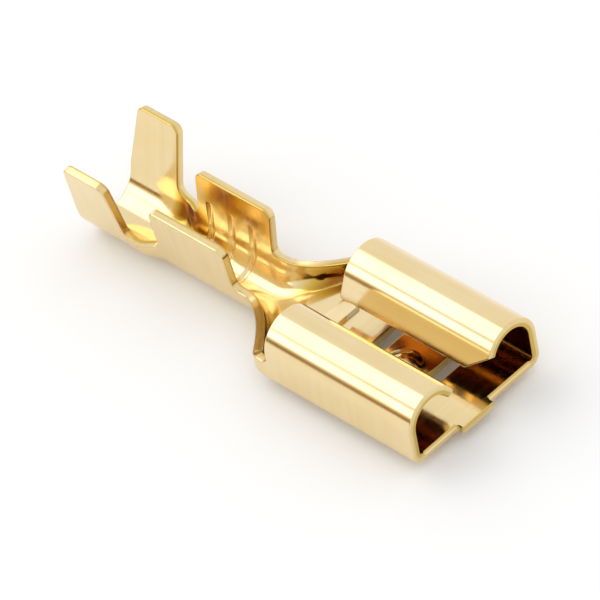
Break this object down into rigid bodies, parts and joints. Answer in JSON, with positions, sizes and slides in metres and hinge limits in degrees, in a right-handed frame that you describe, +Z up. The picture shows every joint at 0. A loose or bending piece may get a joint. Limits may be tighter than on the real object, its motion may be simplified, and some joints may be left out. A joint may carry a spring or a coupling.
{
  "type": "female spade terminal",
  "caption": "Uninsulated brass female spade terminal for a 6.3 mm blade, with open wire barrel and insulation grip, as it is before crimping.",
  "frame": {"origin": "under the middle of the terminal, at the level of its lowest point", "axes": "+X out of the blade mouth along the terminal, +Z up from the floor towards the open barrels and curls"},
  "size_m": [0.022, 0.0076, 0.0049],
  "materials": {
    "brass": "polished"
  },
  "bodies": {
    "root": {"terminal": "brass"}
  },
  "joints": []
}
